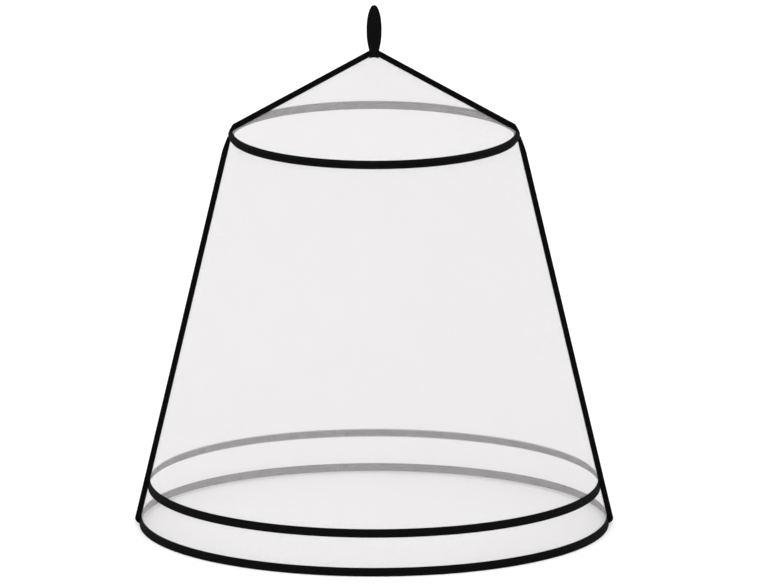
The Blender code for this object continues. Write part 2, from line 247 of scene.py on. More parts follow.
# Six-sided mesh: the distance to the nearer side of a honeycomb cell, made into yarn. The knitting
# wanders: soft noise of scale Patch shifts the cells by up to half of Wander each way.
def makeHexMesh():
    group, given, made = newGroup(
        "hexMesh",
        {
            "Vector": ("Vector", None),
            "Pitch": ("Float", 0.0016),
            "Yarn": ("Float", 0.25),
            "Wander": ("Float", 0.002),
            "Patch": ("Float", 42.0),
        },
        ("Cover", "Height"),
    )
    soft = {"Vector": given["Vector"], "Scale": given["Patch"], "Detail": 0.0}
    noise = addNode(group, "ShaderNodeTexNoise", soft)
    shift = vectors(group, "SUBTRACT", noise.outputs["Color"], (0.5, 0.5, 0.5))
    wandered = vectors(group, "ADD", given["Vector"], scaledBy(group, shift, given["Wander"]))
    cell = (1, math.sqrt(3), 1)
    centre = (0.5, 0.5, 0)
    size = maths(group, "DIVIDE", 1.0, given["Pitch"])
    place = vectors(group, "DIVIDE", scaledBy(group, wandered, size), cell)
    nearby = []
    for shift in ((0, 0, 0), centre):
        share = vectors(group, "FRACTION", vectors(group, "ADD", place, shift))
        offset = vectors(group, "SUBTRACT", share, centre)
        nearby.append(vectors(group, "MULTIPLY", offset, (1, math.sqrt(3), 0)))
    away = [vectors(group, "LENGTH", offset, output="Value") for offset in nearby]
    mix = addNode(group, "ShaderNodeMix", data_type="VECTOR", clamp_factor=True)
    group.links.new(maths(group, "LESS_THAN", away[0], away[1]), mix.inputs[0])
    group.links.new(nearby[1], mix.inputs[4])
    group.links.new(nearby[0], mix.inputs[5])
    side = vectors(group, "ABSOLUTE", mix.outputs[1])
    slanted = vectors(group, "DOT_PRODUCT", side, (0.5, math.sqrt(3) / 2, 0), output="Value")
    upright = vectors(group, "DOT_PRODUCT", side, (1, 0, 0), output="Value")
    edge = maths(group, "SUBTRACT", 0.5, maths(group, "MAXIMUM", slanted, upright))
    across = maths(group, "DIVIDE", edge, maths(group, "MULTIPLY", given["Yarn"], 0.5))
    cover = addNode(
        group, "ShaderNodeMapRange",
        {"Value": across, "From Min": 0.85, "From Max": 1.15, "To Min": 1.0, "To Max": 0.0},
        interpolation_type="SMOOTHSTEP",
    )
    group.links.new(cover.outputs[0], made["Cover"])
    square = maths(group, "POWER", maths(group, "MINIMUM", across, 1.0), 2.0)
    group.links.new(maths(group, "SUBTRACT", 1.0, square), made["Height"])
    return group


# A sine wave that crosses zero at each spacing.
def wave(group, place, spacing):
    turns = maths(group, "DIVIDE", maths(group, "MULTIPLY", place, math.pi), spacing)
    return maths(group, "SINE", turns)


# Ribbed tape: one rounded rib for each weft, with the fine warp yarns over it.
def makeRibs():
    group, given, made = newGroup(
        "tapeRibs",
        {"Vector": ("Vector", None), "Rib": ("Float", 0.0011), "Yarn": ("Float", 0.00042)},
        ("Height",),
    )
    parts = addNode(group, "ShaderNodeSeparateXYZ", {0: given["Vector"]})
    ribs = wave(group, parts.outputs[0], given["Rib"])
    yarns = wave(group, parts.outputs[1], given["Yarn"])
    rounded = maths(group, "ABSOLUTE", ribs)
    fine = maths(group, "MULTIPLY_ADD", maths(group, "ABSOLUTE", yarns), 0.3, 0.7)
    group.links.new(maths(group, "MULTIPLY", rounded, fine), made["Height"])
    return group


# Herringbone webbing: slanting floats that turn back at each stripe.
def makeHerringbone():
    group, given, made = newGroup(
        "herringbone",
        {"Vector": ("Vector", None), "Stripe": ("Float", 0.008), "Yarn": ("Float", 0.0014)},
        ("Height",),
    )
    parts = addNode(group, "ShaderNodeSeparateXYZ", {0: given["Vector"]})
    turn = maths(group, "PINGPONG", parts.outputs[1], given["Stripe"])
    slant = maths(group, "ADD", parts.outputs[0], maths(group, "MULTIPLY", turn, 0.9))
    raised = wave(group, slant, given["Yarn"])
    groove = maths(group, "ABSOLUTE", wave(group, turn, given["Stripe"]))
    body = maths(group, "MULTIPLY_ADD", maths(group, "POWER", groove, 0.25), 0.4, 0.6)
    group.links.new(maths(group, "MULTIPLY", maths(group, "ABSOLUTE", raised), body), made["Height"])
    return group


# Rubbed rims: strong within Rim of both edges, broken up by noise.
def makeRubbed():
    group, given, made = newGroup(
        "rubbedEdges",
        {
            "Vector": ("Vector", None),
            "Half Width": ("Float", 0.019),
            "Rim": ("Float", 0.0016),
            "Patch": ("Float", 90.0),
        },
        ("Mask",),
    )
    parts = addNode(group, "ShaderNodeSeparateXYZ", {0: given["Vector"]})
    inside = maths(group, "SUBTRACT", given["Half Width"], maths(group, "ABSOLUTE", parts.outputs[1]))
    rim = maths(group, "SUBTRACT", 1.0, maths(group, "DIVIDE", inside, given["Rim"]), clamp=True)
    soft = {"Vector": given["Vector"], "Scale": given["Patch"], "Detail": 3.0}
    noise = addNode(group, "ShaderNodeTexNoise", soft)
    limits = {"Value": noise.outputs[0], "From Min": 0.4, "From Max": 0.65}
    patches = addNode(group, "ShaderNodeMapRange", limits)
    group.links.new(maths(group, "MULTIPLY", rim, patches.outputs[0]), made["Mask"])
    return group


# Uneven dye and handling: soft noise round 1, Amount each way.
def makeMottle():
    group, given, made = newGroup(
        "mottle",
        {"Vector": ("Vector", None), "Scale": ("Float", 4.0), "Amount": ("Float", 0.03)},
        ("Factor",),
    )
    soft = {"Vector": given["Vector"], "Scale": given["Scale"], "Detail": 4.0}
    noise = addNode(group, "ShaderNodeTexNoise", soft)
    spread = maths(group, "MULTIPLY", maths(group, "SUBTRACT", noise.outputs[0], 0.5), 2.0)
    group.links.new(maths(group, "MULTIPLY_ADD", spread, given["Amount"], 1.0), made["Factor"])
    return group


hexMesh, tapeRibs, herringbone = makeHexMesh(), makeRibs(), makeHerringbone()
rubbedEdges, mottle = makeRubbed(), makeMottle()


def newMaterial(name, finish):
    material = bpy.data.materials.new(name)
    material.use_nodes = True
    shader = material.node_tree.nodes["Principled BSDF"]
    shader.inputs["Roughness"].default_value = finish["roughness"]
    shader.inputs["Specular IOR Level"].default_value = finish["specular"]
    return material, material.node_tree, shader


def clothPlace(tree):
    return addNode(tree, "ShaderNodeUVMap", uv_map="cloth").outputs[0]


# uneven is the noise's scale and how far it goes each way.
def mottled(tree, colour, uneven):
    place = addNode(tree, "ShaderNodeTexCoord").outputs["Object"]
    scale, amount = uneven
    factor = useGroup(tree, mottle, {"Vector": place, "Scale": scale, "Amount": amount})["Factor"]
    return scaledBy(tree, colour, factor)


def bumped(tree, shader, height, depth):
    bump = addNode(tree, "ShaderNodeBump", {"Height": height, "Distance": depth, "Strength": 1.0})
    tree.links.new(bump.outputs[0], shader.inputs["Normal"])


netting = {
    "colour": (0.608, 0.589, 0.590),
    "pitch": 0.0016,  # side to side of one cell
    "yarn": 0.242,  # share of the pitch
    "wander": 0.0048,
    "patch": 42.0,
    "yarnDepth": 0.00012,
    "uneven": (3.0, 0.012),
    "roughness": 0.9,
    "specular": 0.15,
}


def makeNetting():
    material, tree, shader = newMaterial("sheerNetting", netting)
    cells = {key.title(): netting[key] for key in ("pitch", "yarn", "wander", "patch")}
    mesh = useGroup(tree, hexMesh, {"Vector": clothPlace(tree), **cells})
    colour = mottled(tree, netting["colour"], netting["uneven"])
    tree.links.new(colour, shader.inputs["Base Color"])
    tree.links.new(mesh["Cover"], shader.inputs["Alpha"])
    bumped(tree, shader, mesh["Height"], netting["yarnDepth"])
    return material


# Black dye with painted shade and highlight: groove is painted shade for the weave's hollows, colour on the
# tops is a painted highlight paler than the dye, rubbed is the paler wear on the rims.
blackDyeShadeAndWear = {
    "colour": (0.0048, 0.0048, 0.0050),
    "groove": (0.0004, 0.0004, 0.0004),
    "rubbed": (0.020, 0.020, 0.0205),
}
tape = {
    **blackDyeShadeAndWear,
    "rib": 0.0011,
    "yarn": 0.00042,
    "ribDepth": 0.00016,
    "rim": 0.0014,
    "uneven": (18.0, 0.25),
    "roughness": 0.85,
    "specular": 0.03,
}


# Painted shade and highlight: the colour goes from nearly black in the grooves to paler on the tops with the
# weave's height; the rims are rubbed paler by wear.
def weaveShadeAndWear(tree, finish, height, worn):
    colour = None
    for factor, pale in ((height, finish["colour"]), (worn, finish["rubbed"])):
        mix = addNode(tree, "ShaderNodeMix", data_type="RGBA")
        tree.links.new(factor, mix.inputs[0])
        mix.inputs[7].default_value = (*pale, 1)
        if colour:
            tree.links.new(colour, mix.inputs[6])
        else:
            mix.inputs[6].default_value = (*finish["groove"], 1)
        colour = mix.outputs[2]
    return colour


def makeTape(name, halfWidth):
    material, tree, shader = newMaterial(name, tape)
    place = clothPlace(tree)
    weave = {"Vector": place, "Rib": tape["rib"], "Yarn": tape["yarn"]}
    ribs = useGroup(tree, tapeRibs, weave)["Height"]
    rims = {"Vector": place, "Half Width": halfWidth, "Rim": tape["rim"]}
    worn = useGroup(tree, rubbedEdges, rims)["Mask"]
    # the ribs' height paints shade into the grooves and highlight onto the tops
    colour = mottled(tree, weaveShadeAndWear(tree, tape, ribs, worn), tape["uneven"])
    tree.links.new(colour, shader.inputs["Base Color"])
    bumped(tree, shader, ribs, tape["ribDepth"])
    return material


webbing = {
    **blackDyeShadeAndWear,
    "stripe": 0.0082,
    "yarn": 0.0013,
    "yarnDepth": 0.0003,
    "halfWidth": 0.0352,
    "rim": 0.0022,
    "uneven": (30.0, 0.25),
    "roughness": 0.8,
    "specular": 0.04,
}


def makeWebbing():
    material, tree, shader = newMaterial("blackWebbing", webbing)
    place = clothPlace(tree)
    weave = {"Vector": place, "Stripe": webbing["stripe"], "Yarn": webbing["yarn"]}
    twill = useGroup(tree, herringbone, weave)["Height"]
    rims = {"Vector": place, "Half Width": webbing["halfWidth"], "Rim": webbing["rim"]}
    worn = useGroup(tree, rubbedEdges, rims)["Mask"]
    # the twill's height paints shade into the grooves and highlight onto the floats
    colour = mottled(tree, weaveShadeAndWear(tree, webbing, twill, worn), webbing["uneven"])
    tree.links.new(colour, shader.inputs["Base Color"])
    bumped(tree, shader, twill, webbing["yarnDepth"])
    return material


thread = {"colour": (0.010, 0.010, 0.0105), "uneven": (60.0, 0.2), "roughness": 0.5, "specular": 0.3}


def makeThread():
    material, tree, shader = newMaterial("blackThread", thread)
    colour = mottled(tree, thread["colour"], thread["uneven"])
    tree.links.new(colour, shader.inputs["Base Color"])
    return material


plastic = {
    "colour": (0.02, 0.02, 0.021),
    "uneven": (25.0, 0.15),
    "grain": 900.0,
    "grainDepth": 0.00008,
    "roughness": 0.45,
    "specular": 0.4,
}


def makeHoopPlastic():
    material, tree, shader = newMaterial("hoopPlastic", plastic)
    colour = mottled(tree, plastic["colour"], plastic["uneven"])
    tree.links.new(colour, shader.inputs["Base Color"])
    place = addNode(tree, "ShaderNodeTexCoord").outputs["Object"]
    fine = {"Vector": place, "Scale": plastic["grain"], "Detail": 2.0}
    grain = addNode(tree, "ShaderNodeTexNoise", fine)
    bumped(tree, shader, grain.outputs[0], plastic["grainDepth"])
    return material


netMaterial = makeNetting()
tapeMaterial = makeTape("ribbedTape", canopy["tapeWidth"] / 2)
foldedMaterial = makeTape("foldedTape", canopy["tapeWidth"])
seamMaterial = makeTape("seamTape", canopy["seamWidth"] + canopy["seamRoom"])
webbingMaterial, threadMaterial, hoopMaterial = makeWebbing(), makeThread(), makeHoopPlastic()
print("materials made")

# How the wall hangs between its seams: soft troughs and ridges, listed one by one.
# Each is (angle, half width in degrees, lean in degrees down the wall, depth in mm, from, to),
# where from and to are shares of the way from the hoop to the border tape.
slack = {
    "front": (
        (17, 5.0, 3, -3.0, 0.10, 1.00),
        (34, 6.0, -2, 3.5, 0.00, 0.85),
        (52, 5.0, 2, -2.5, 0.20, 1.00),
        (68, 7.5, -1, 3.0, 0.05, 1.00),
        (84, 5.5, 2, -3.0, 0.00, 0.75),
        (101, 6.5, 1, 3.5, 0.25, 1.00),
        (118, 5.0, -3, -2.5, 0.05, 0.90),
        (137, 7.0, -1, 3.0, 0.00, 1.00),
        (158, 5.5, -3, -3.0, 0.15, 1.00),
    ),
    "back": (
        (200, 5.5, 2, 3.0, 0.05, 0.90),
        (219, 7.0, -2, -3.5, 0.15, 1.00),
        (238, 5.0, 1, 3.0, 0.00, 1.00),
        (257, 6.5, 2, -2.5, 0.10, 0.80),
        (276, 5.5, -2, 3.5, 0.00, 1.00),
        (295, 7.5, 1, -3.0, 0.20, 1.00),
        (316, 5.5, -2, 2.5, 0.05, 1.00),
        (338, 6.0, 1, -3.0, 0.00, 0.90),
    ),
    "seamHold": 0.30,  # the bound seams hold the cloth true this far beside them
    "low": 0.3,  # what is left of a fold under the border tape
    "roofSag": 0.005,
    "finLean": 0.0009,
}


# Each fold is a bell across its angle, eased in and out down the wall; the sum dies out at the
# seams, at the casing and, all but a share, at the border.
def wallSway(angle, run):
    share = run / borderRun
    total = 0.0
    for centre, width, lean, depth, start, stop in slack["front"] + slack["back"]:
        off = np.degrees(angle) - centre - lean * share
        bell = np.exp(-((off / width) ** 2))
        grown = ease(share, start, start + 0.35)
        kept = 1 - 0.5 * ease(share, stop - 0.2, stop)
        total = total + depth / 1000 * bell * grown * kept
    fade = ease(share, 0.0, 0.12) * (1 - (1 - slack["low"]) * ease(share, 0.8, 0.99))
    return total * fade * ease(np.abs(np.sin(angle)), 0.0, slack["seamHold"])


# The roof hangs a little hollow between the hoop, the peak and the seams.
def roofSag(angle, run):
    share = np.clip(run / roofRun, 0, 1)
    return -slack["roofSag"] * np.sin(math.pi * share) * ease(np.abs(np.sin(angle)), 0.0, 0.5)


# A seam fin leans a little to either side, more towards its outer edge.
def finLean(run, lift):
    sway = np.sin(run * 9.0 + 0.6) + 0.5 * np.sin(run * 23.0 + 2.0)
    return slack["finLean"] * sway * np.clip(lift / canopy["seamWidth"], 0, 1) ** 2


# The rectangle that a half ring of cloth is cut from, and its area. Flattened, a cone is a fan:
# near and far are its distances from the fan's point, halfAngle is half its spread.
def flatFan(near, far, halfAngle, allowance):
    width = 2 * far * math.sin(min(halfAngle, math.pi / 2)) + 2 * allowance
    height = far - near * math.cos(halfAngle) if halfAngle < math.pi / 2 else far
    area = halfAngle * (far**2 - near**2) + 2 * allowance * (far - near)
    return (round(width, 3), round(height, 3)), round(area, 4)


# The ends of the seams, where allowance and binding narrow to meet the casing or the hem. foot is
# the run at the net, run and lift are where the outer edge ends, and it comes down to there from
# its whole height at the shoulder; a higher power keeps the height longer and rounds the corner.
seamEnds = {
    "roof": {"foot": 0.0152, "run": -0.001, "lift": 0.0055, "shoulder": 0.032, "power": 1.25},
    "wall": {"foot": 0.0200, "run": 0.011, "lift": 0.0180, "shoulder": 0.090, "power": 1.3},
    "hem": {
        "foot": wallRun,
        "run": wallRun - 0.003,
        "lift": 0.0110,
        "shoulder": wallRun - 0.028,
        "power": 2.8,
    },
}


# Where the outer edge of a seam is, as run and lift, over each run at the net.
def outerEdge(run, top, ends, inset=0.0):
    outerRun, outerLift = run + 0.0, run * 0 + top
    for end in ends:
        toEnd = np.clip((run - end["shoulder"]) / (end["foot"] - end["shoulder"]), 0, 1)
        goal = end["run"] + math.copysign(inset * 4, end["shoulder"] - end["foot"])
        outerRun = np.where(toEnd > 0, end["shoulder"] + (goal - end["shoulder"]) * toEnd, outerRun)
        outerLift = outerLift - (top - end["lift"] + inset) * toEnd ** end["power"]
    return outerRun, outerLift


nets = {
    "roofTop": 0.007,  # the nets' edges inside the casing, from the middle of the hoop
    "wallTop": 0.014,
    "allowance": 0.0255,
    "hemInset": 0.0027,
    "inset": 0.0016,  # the allowance stops this far inside the narrowed ends of the binding
    "lay": 15,  # the cloth is cut this far off the straight, so a layer behind is never parallel
    "columns": 360,
    "flanges": (1.0, 0.72, 0.45, 0.22, 0.09, 0.035),
}


# Half a ring of net with its two edges turned out into the seams. place gives radius and height
# of a run and lift; sway is the listed slack; start is 0 for the front half and pi for the back.
def netHalf(name, place, sway, runs, ends, start, spread, nodes):
    turnedUp = np.array(nets["flanges"])
    between = np.linspace(0, math.pi, nets["columns"])
    angle = start + np.concatenate([turnedUp * 0, between, turnedUp * 0 + math.pi])
    share = np.concatenate([turnedUp, np.zeros(nets["columns"]), turnedUp[::-1]])[None, :]
    run, angle = runs[:, None], angle[None, :]
    outerRun, outerLift = outerEdge(run, nets["allowance"], ends, nets["inset"])
    outerLift = np.where(run < seamStart(ends), 0.0, outerLift)
    outerRun = np.where(run < seamStart(ends), run, outerRun)
    run, lift = run + share * (outerRun - run), share * outerLift
    radius, height = place(run, lift + sway(angle, run))
    points = turned(radius, height, angle, canopy["netSide"], start == 0)
    points[..., 1] += finLean(run, lift)
    # flat cut: distance from the fan's point, turned by the angle shrunk to the fan's spread
    fan = (angle - start - math.pi / 2) * spread
    outward = np.where(angle - start < math.pi / 2, -1.0, 1.0) * lift
    far = place(run, 0.0)[0] / spread
    laid = fan + math.radians(nets["lay"])
    coords = np.stack(
        [far * np.sin(laid) + outward * np.cos(laid), outward * np.sin(laid) - far * np.cos(laid)], axis=-1
    )
    mesh = gridMesh(name, points, coords, flip=place is onWall)
    weld(mesh)
    piece = addPiece(name, mesh, netMaterial, nodes)
    near, farEnd = sorted(float(place(runs[end], 0.0)[0]) / spread for end in (0, -1))
    flat, area = flatFan(max(near, 0.0), farEnd, math.pi / 2 * spread, nets["allowance"])
    return piece, flat, area


# The seam begins at the foot of its upper or outer end; the border's has none of its own.
def seamStart(ends):
    return min((end["foot"] for end in ends if end is not seamEnds["hem"]), default=-1.0)


# Runs that crowd together at both ends: start + length * (t - sin(2 pi t) / 2 pi * crowding).
def crowded(start, stop, count, crowding=0.85):
    t = np.linspace(0, 1, count)
    return start + (stop - start) * (t - np.sin(2 * math.pi * t) / (2 * math.pi) * crowding)


netStop = canopy["tapeWidth"] / 2 - canopy["tapeLap"]
roofFoot, wallFoot = seamEnds["roof"]["foot"], seamEnds["wall"]["foot"]
beforeFoot = 0.0002  # the last row with no seam allowance
roofRuns = [nets["roofTop"], 0.011, roofFoot - beforeFoot], crowded(roofFoot, roofRun, 50)
wallRuns = [nets["wallTop"], 0.018, wallFoot - beforeFoot], crowded(wallFoot, borderRun - netStop, 96)
roofRuns, wallRuns = np.concatenate(roofRuns), np.concatenate(wallRuns)
borderRuns = np.linspace(borderRun + netStop, wallRun - nets["hemInset"], 26)
for side, start in (("Front", 0.0), ("Back", math.pi)):
    low = side.lower()
    netHalf(
        "roofNet" + side, onRoof, roofSag, roofRuns, [seamEnds["roof"]],
        start, math.cos(roofSlope), ["roof_panel_" + low],
    )
    netHalf(
        "wallNet" + side, onWall, wallSway, wallRuns, [seamEnds["wall"]],
        start, math.sin(wallTilt), ["wall_panel_" + low],
    )
    netHalf(
        "borderNet" + side, onWall, wallSway, borderRuns, [seamEnds["hem"]],
        start, math.sin(wallTilt), ["border_panel_" + low],
    )
print("netting cut and hung")


# A sheet of tape from rings of points, with its length along the rows and its width across them.
def tapeSheet(name, points, material, nodes, wrap=False):
    closing = np.concatenate([points, points[:, :1]], axis=1) if wrap else points
    along = np.stack([lengths(row) for row in closing[::len(closing) - 1]]).mean(axis=0)
    across = lengths(points[:, points.shape[1] // 2])
    across = across - across[-1] / 2
    coords = np.stack(np.broadcast_arrays(along[None, :], across[:, None]), axis=-1)
    mesh = gridMesh(name, points, coords, wrap)
    piece = addPiece(name, mesh, material, nodes, canopy["tapeThickness"])
    return piece


# Points round an arc of this radius about the middle of the hoop's tube, as radius and height.
def roundTube(start, stop, distance, steps):
    turn = np.linspace(start, stop, steps)
    return hoopRadius + distance * np.cos(turn), hoopZ + distance * np.sin(turn)


casing = {
    "radius": canopy["roofLift"] + canopy["tapeLift"],
    "roofEdge": 0.014,  # how far up the roof and down the wall both tapes reach
    "wallEdge": 0.0195,
    "roofSeam": 0.0105,  # where they leave the net for the hoop
    "wallSeam": 0.0155,
    "columns": 300,
}


# Where a straight line from a point meets the casing's circle: its direction from the tube's
# middle, turned by the angle whose cosine is the circle's radius over how far off the point is.
def tangentTurn(point, turn):
    across, up = point[0] - hoopRadius, point[1] - hoopZ
    return math.atan2(up, across) + turn * math.acos(casing["radius"] / math.hypot(across, up))


# One line of (radius, height) from several stretches of it.
def stackLine(*parts):
    pairs = [np.stack(np.broadcast_arrays(*part), axis=-1).reshape(-1, 2) for part in parts]
    return np.concatenate(pairs)


# Both tapes run flat on the net to their seam, then straight to the circle round the hoop.
def makeCasing():
    lift = canopy["tapeLift"]
    wallTail = np.linspace(casing["wallSeam"], casing["wallEdge"], 4)
    stop = tangentTurn(onWall(casing["wallSeam"], lift), 1)
    outer = stackLine(
        onRoof(np.linspace(casing["roofEdge"], 0.0, 6)[:-1], lift),
        roundTube(math.pi / 2 - roofSlope, stop, casing["radius"], 17),
        onWall(wallTail, lift),
    )
    start = tangentTurn(onRoof(casing["roofSeam"], -lift), 1)
    stop = tangentTurn(onWall(casing["wallSeam"], -lift), -1) + 2 * math.pi
    inner = stackLine(
        onRoof(np.linspace(casing["roofEdge"], casing["roofSeam"], 3), -lift),
        roundTube(start, stop, casing["radius"], 17),
        onWall(wallTail, -lift),
    )
    angle = np.linspace(0, 2 * math.pi, casing["columns"], endpoint=False)[None, :]
    for label, line in (("Outer", outer), ("Inner", inner)):
        name = "casing" + label
        points = turned(line[:, :1], line[:, 1:], angle)
        material = makeTape(name + "Tape", lengths(line)[-1] / 2)
        tapeSheet(name, points, material, ["hoop_casing_" + label.lower()], wrap=True)
        casing[name] = points


# The hoop: a round tube turned about the canopy's axis, smooth where the CAD one has flats.
def makeHoop():
    radius, height = roundTube(0, 2 * math.pi, tubeRadius, 21)
    angle = np.linspace(0, 2 * math.pi, 240, endpoint=False)[None, :]
    points = turned(radius[:, None], height[:, None], angle)
    coords = np.zeros((21, 241, 2)) + np.linspace(0, 1, 21)[:, None, None]
    mesh = gridMesh("hoopTube", points, coords, wrap=True)
    weld(mesh)
    addPiece("hoopTube", mesh, hoopMaterial, ["hoop"])


border = {"rows": 7, "columns": 460}


def makeBorderTape(side, start):
    half = canopy["tapeWidth"] / 2
    run = np.linspace(borderRun - half, borderRun + half, border["rows"])[:, None]
    angle = np.linspace(start, start + math.pi, border["columns"])[None, :]
    radius, height = onWall(run, canopy["tapeLift"] + wallSway(angle, run))
    points = turned(radius, height, angle, canopy["tapeEnd"], start == 0)
    border[side] = points
    tapeSheet("borderTape" + side, points, tapeMaterial, ["border_tape_" + side.lower()])


hem = {"columns": 460, "legRows": 8, "foldRows": 9}


# The tape runs down the outside, turns half a circle round the net's edge and goes up the inside.
def makeHem(side, start):
    lift = canopy["tapeLift"]
    middle = wallRun - canopy["tapeThickness"] / 2 - lift
    leg = np.linspace(wallRun - canopy["tapeWidth"], middle, hem["legRows"])
    turn = np.linspace(0, math.pi, hem["foldRows"])[1:-1]
    run = np.concatenate([leg, middle + lift * np.sin(turn), leg[::-1]])[:, None]
    away = np.concatenate([leg * 0 + lift, lift * np.cos(turn), leg * 0 - lift])[:, None]
    angle = np.linspace(start, start + math.pi, hem["columns"])[None, :]
    radius, height = onWall(run, away + wallSway(angle, run))
    points = turned(radius, height, angle, canopy["tapeEnd"], start == 0)
    hem[side] = points
    tapeSheet("hemBinding" + side, points, foldedMaterial, ["hem_binding_" + side.lower()])


seams = {
    "foot": 0.0011,  # the legs stop just above the net
    "corner": 0.0016,
    "peakGap": 0.0014,  # between the two bindings where they meet over the peak
    "wallRows": 170,
    "roofRows": 80,
}


# Side, run and lift of a folded binding over runs along the net: up one leg, a rounded corner,
# across the top and down, all drawn in where its outer edge comes down.
def bindingGrid(run, ends):
    whole = canopy["seamWidth"] + canopy["seamRoom"] - canopy["tapeThickness"] / 2
    outerRun, top = outerEdge(run, whole, ends)
    corner, leg, foot = seams["corner"], canopy["tapeSide"], seams["foot"]
    up = np.linspace(0, 1, 7)[:-1, None]
    turn = np.linspace(0, math.pi / 2, 5)[:, None]
    lift = np.concatenate([foot + up * (top - corner - foot), top - corner + corner * np.sin(turn)])
    side = np.concatenate([leg + up * 0, leg - corner + corner * np.cos(turn)])
    side, lift = np.concatenate([-side, side[::-1]]), np.concatenate([lift, lift[::-1]])
    return side, run + (outerRun - run) * (lift - foot) / (top - foot), lift


def makeSeams():
    wallRow = crowded(seamEnds["wall"]["foot"], wallRun, seams["wallRows"], 0.9)[None, :]
    wallGrid = bindingGrid(wallRow, [seamEnds["wall"], seamEnds["hem"]])
    rise = crowded(0, 1, seams["roofRows"])[None, :]
    _, _, lift = bindingGrid(rise, [])
    peak = (onRoof(0.0, lift)[0] - seams["peakGap"] / 2) / math.cos(roofSlope)
    side, run, lift = bindingGrid(roofFoot + (peak[:1] - roofFoot) * rise, [seamEnds["roof"]])
    upright = ease(rise, 0.85, 1.0)
    roofGrid = side, run + (peak - peak[:1]) * upright, lift
    for label, sign in (("Right", 1), ("Left", -1)):
        for kind, place, (side, run, lift) in (("roof", onRoof, roofGrid), ("wall", onWall, wallGrid)):
            radius, height = place(run, lift)
            leaning = side + finLean(run, lift)
            points = np.stack(np.broadcast_arrays(sign * radius, leaning, height), axis=-1)
            name = kind + "SeamBinding" + label
            seams[name] = points
            tapeSheet(name, points, seamMaterial, [kind + "_seam_binding_" + label.lower()])


makeCasing()
makeHoop()
for side, start in (("Front", 0.0), ("Back", math.pi)):
    makeBorderTape(side, start)
    makeHem(side, start)
makeSeams()
print("hoop, casing, tapes and bindings made")


loop = {
    "height": 0.2353,  # from the peak to the crest
    "width": 0.0704,
    "baseWidth": 0.043,
    "widest": 0.1163,
    "halfOval": 0.119,
    "strap": 0.0035,
    "bunched": 0.0105,
    "hook": 0.005,
    "foot": 0.015,
    "footPlay": 0.0014,
    "footBend": 0.0015,
    "sewnAbove": 0.004,
    "bowLean": 21,
    "hookLean": 17,
    "bowHandle": 0.062,
    "droop": 0.05,  # the strap follows the cone under it up to this height
    "pleat": 0.0007,
    "columns": 21,
    "step": 0.0016,
}


# The middle of the strap as (y, height over the peak): foot on the roof, up beside the seams, a
# Bezier bow outwards, an arch over the hook, and the same again down the back.
def loopPath():
    slope, cosine = math.tan(roofSlope), math.cos(roofSlope)
    rest = (loop["footPlay"] + loop["strap"] / 2) / cosine
    beside = canopy["tapeEnd"] + loop["strap"] / 2
    sewnTop = canopy["seamWidth"] / cosine + loop["sewnAbove"]
    out = beside + np.array([loop["foot"], loop["foot"] / 2, loop["footBend"]])
    foot = np.stack([-out, rest - slope * out], axis=-1)
    sewnFrom = rest - slope * beside + loop["footBend"]
    sewn = np.array([[-beside, sewnFrom], [-beside, sewnTop / 2], [-beside, sewnTop]])
    turn = loop["hook"] + loop["bunched"] / 2
    centre = loop["height"] - loop["bunched"] - loop["hook"]
    low, lean, tilt = sewn[-1], math.radians(loop["hookLean"]), math.radians(loop["bowLean"])
    high = np.array([-turn * math.cos(lean), centre - turn * math.sin(lean)])
    ends = low, low + loop["bowHandle"] * np.array([-math.sin(tilt), math.cos(tilt)])
    ends += high - loop["bowHandle"] * np.array([math.sin(lean), math.cos(lean)]), high
    t = np.linspace(0, 1, 40)[1:, None]
    weights = (1 - t) ** 3, 3 * t * (1 - t) ** 2, 3 * t**2 * (1 - t), t**3
    bow = sum(weight * end for weight, end in zip(weights, ends))
    swing = np.linspace(math.pi + lean, math.pi / 2, 14)[1:]
    arch = np.stack([turn * np.cos(swing), centre + turn * np.sin(swing)], axis=-1)
    front = np.concatenate([foot, sewn, bow, arch])
    line = np.concatenate([front, front[-2::-1] * (-1, 1)])
    # evenly spaced, then each point is averaged with its neighbours so that the bends are round
    along = lengths(line)
    even = np.linspace(0, along[-1], int(along[-1] / 0.0005))
    line = np.stack([np.interp(even, along, line[:, k]) for k in range(2)], axis=-1)
    weights = np.exp(-0.5 * (np.arange(-8, 9) / 3.0) ** 2)
    padded = np.concatenate([2 * line[:1] - line[8:0:-1], line, 2 * line[-1:] - line[-2:-10:-1]])
    weights = weights / weights.sum()
    return np.stack([np.convolve(padded[:, k], weights, "valid") for k in range(2)], axis=-1)


loopLine = loopPath()
loopAlong = lengths(loopLine)


# A point on the strap: along its length, across it (-1 to 1) and on its outer (1) or inner (-1)
# face. Its width is an oval's, and what the width loses over the hook its thickness gains.
def strapPoint(along, across, face, swell=1.0):
    y, height = (np.interp(along, loopAlong, loopLine[:, k]) for k in range(2))
    slopes = np.gradient(loopLine, axis=0)
    slopes = slopes / np.linalg.norm(slopes, axis=1, keepdims=True)
    alongY, alongZ = (np.interp(along, loopAlong, slopes[:, k]) for k in range(2))
    share = (height - loop["widest"]) / loop["halfOval"]
    width = loop["width"] * np.sqrt(np.maximum(1 - share**2, 0.01))
    width = np.where(height < loop["widest"], np.maximum(width, loop["baseWidth"]), width)
    thickness = np.minimum(loop["strap"] * loop["width"] / width, loop["bunched"])
    thickness = np.where(height < loop["widest"], loop["strap"], thickness)
    bunched = (thickness - loop["strap"]) / (loop["bunched"] - loop["strap"])
    full = np.sqrt(np.maximum(1 - np.abs(across) ** (7 - 4 * bunched), 0))
    pleats = loop["pleat"] * bunched * np.cos(across * math.pi * 3.5) * (1 - across**2)
    out = face * swell * (full * thickness / 2 + pleats)
    x = across * width / 2
    faceY = y - out * alongZ
    droop = np.clip(1 - np.maximum(height, 0) / loop["droop"], 0, 1) * math.tan(roofSlope)
    z = peakZ + height + out * alongY - droop * (np.hypot(x, faceY) - np.abs(faceY))
    return np.stack(np.broadcast_arrays(x, faceY, z), axis=-1)


